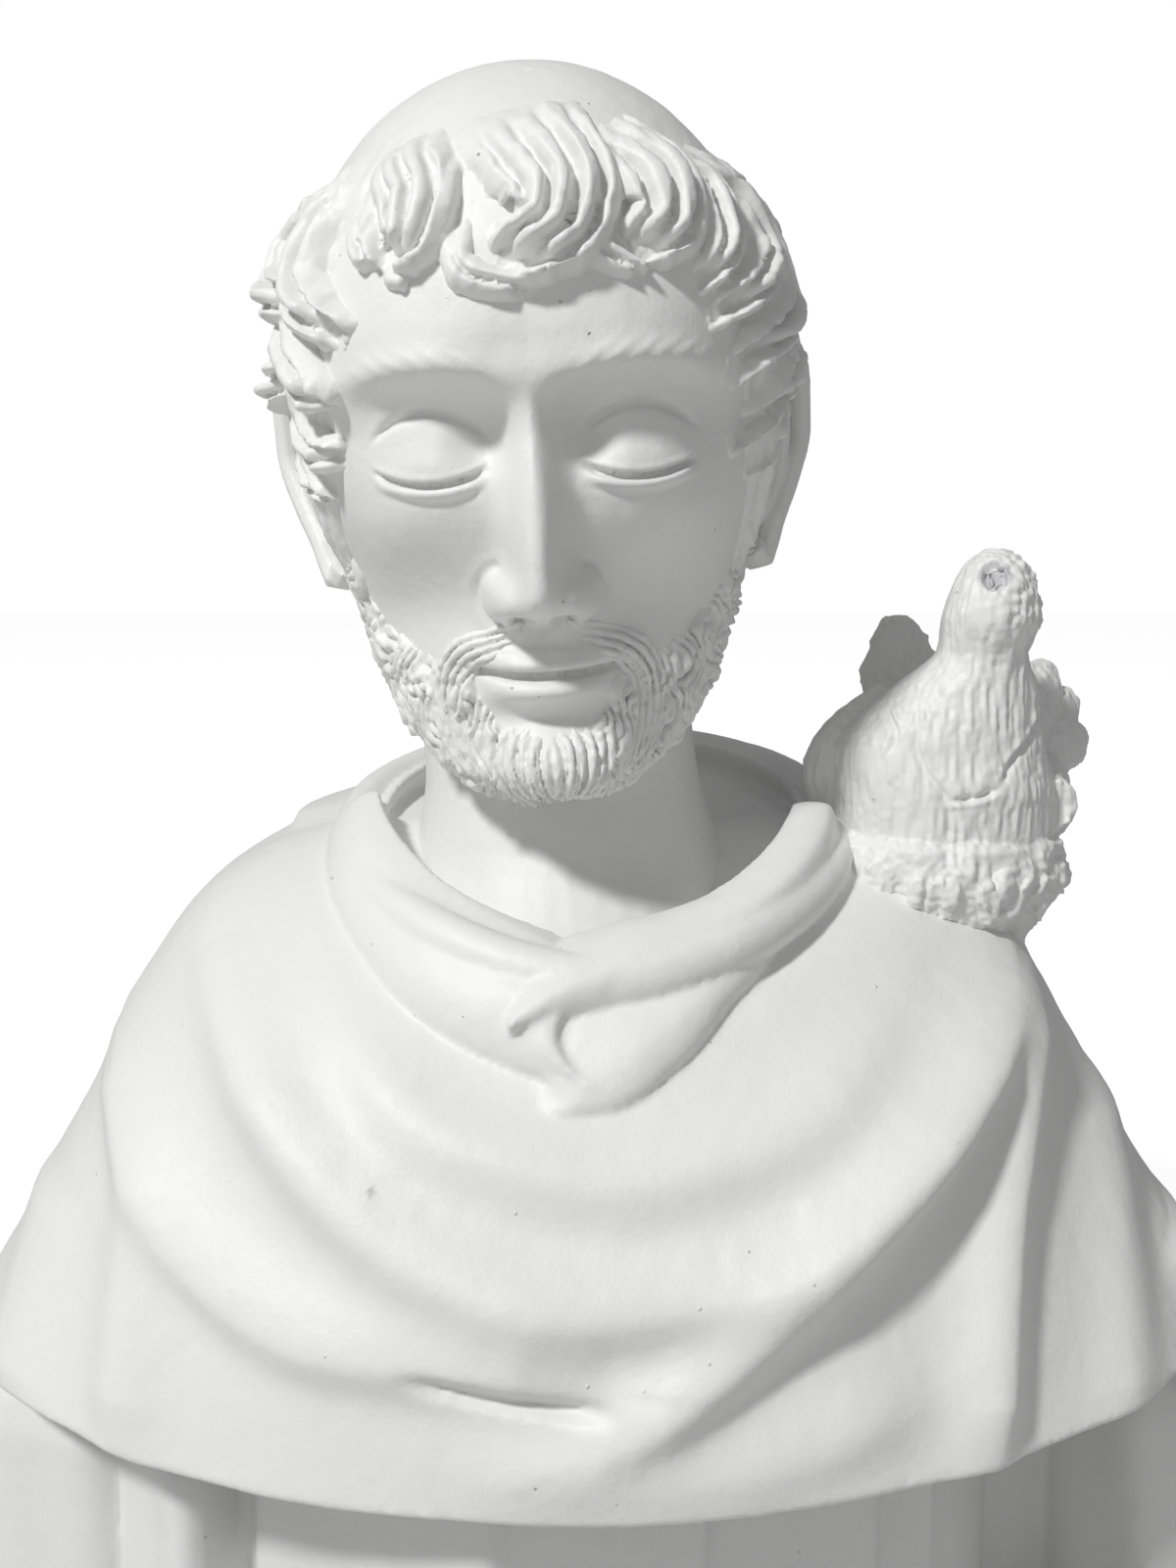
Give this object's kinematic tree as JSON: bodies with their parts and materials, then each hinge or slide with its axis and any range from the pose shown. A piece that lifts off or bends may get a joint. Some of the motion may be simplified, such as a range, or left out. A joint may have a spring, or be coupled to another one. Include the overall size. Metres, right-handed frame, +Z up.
{
  "type": "saint francis bust",
  "caption": "White plaster bust of Saint Francis with tonsure, beard and hooded shoulder cape, a dove in its nest on one shoulder, cut flat below to stand on a shelf.",
  "frame": {"origin": "middle of the flat underside, below the neck", "axes": "+Z up; the figure faces -Y; +X is the viewer's right, the side of the dove"},
  "size_m": [0.2144, 0.1446, 0.2547],
  "materials": {
    "white_plaster": "unpainted white cast plaster with a faint satin skin, pinholes, small nodules and a grey stain by the nest"
  },
  "bodies": {
    "root": {"saint_francis_bust": "white_plaster", "dove_on_nest": "white_plaster"}
  },
  "joints": []
}
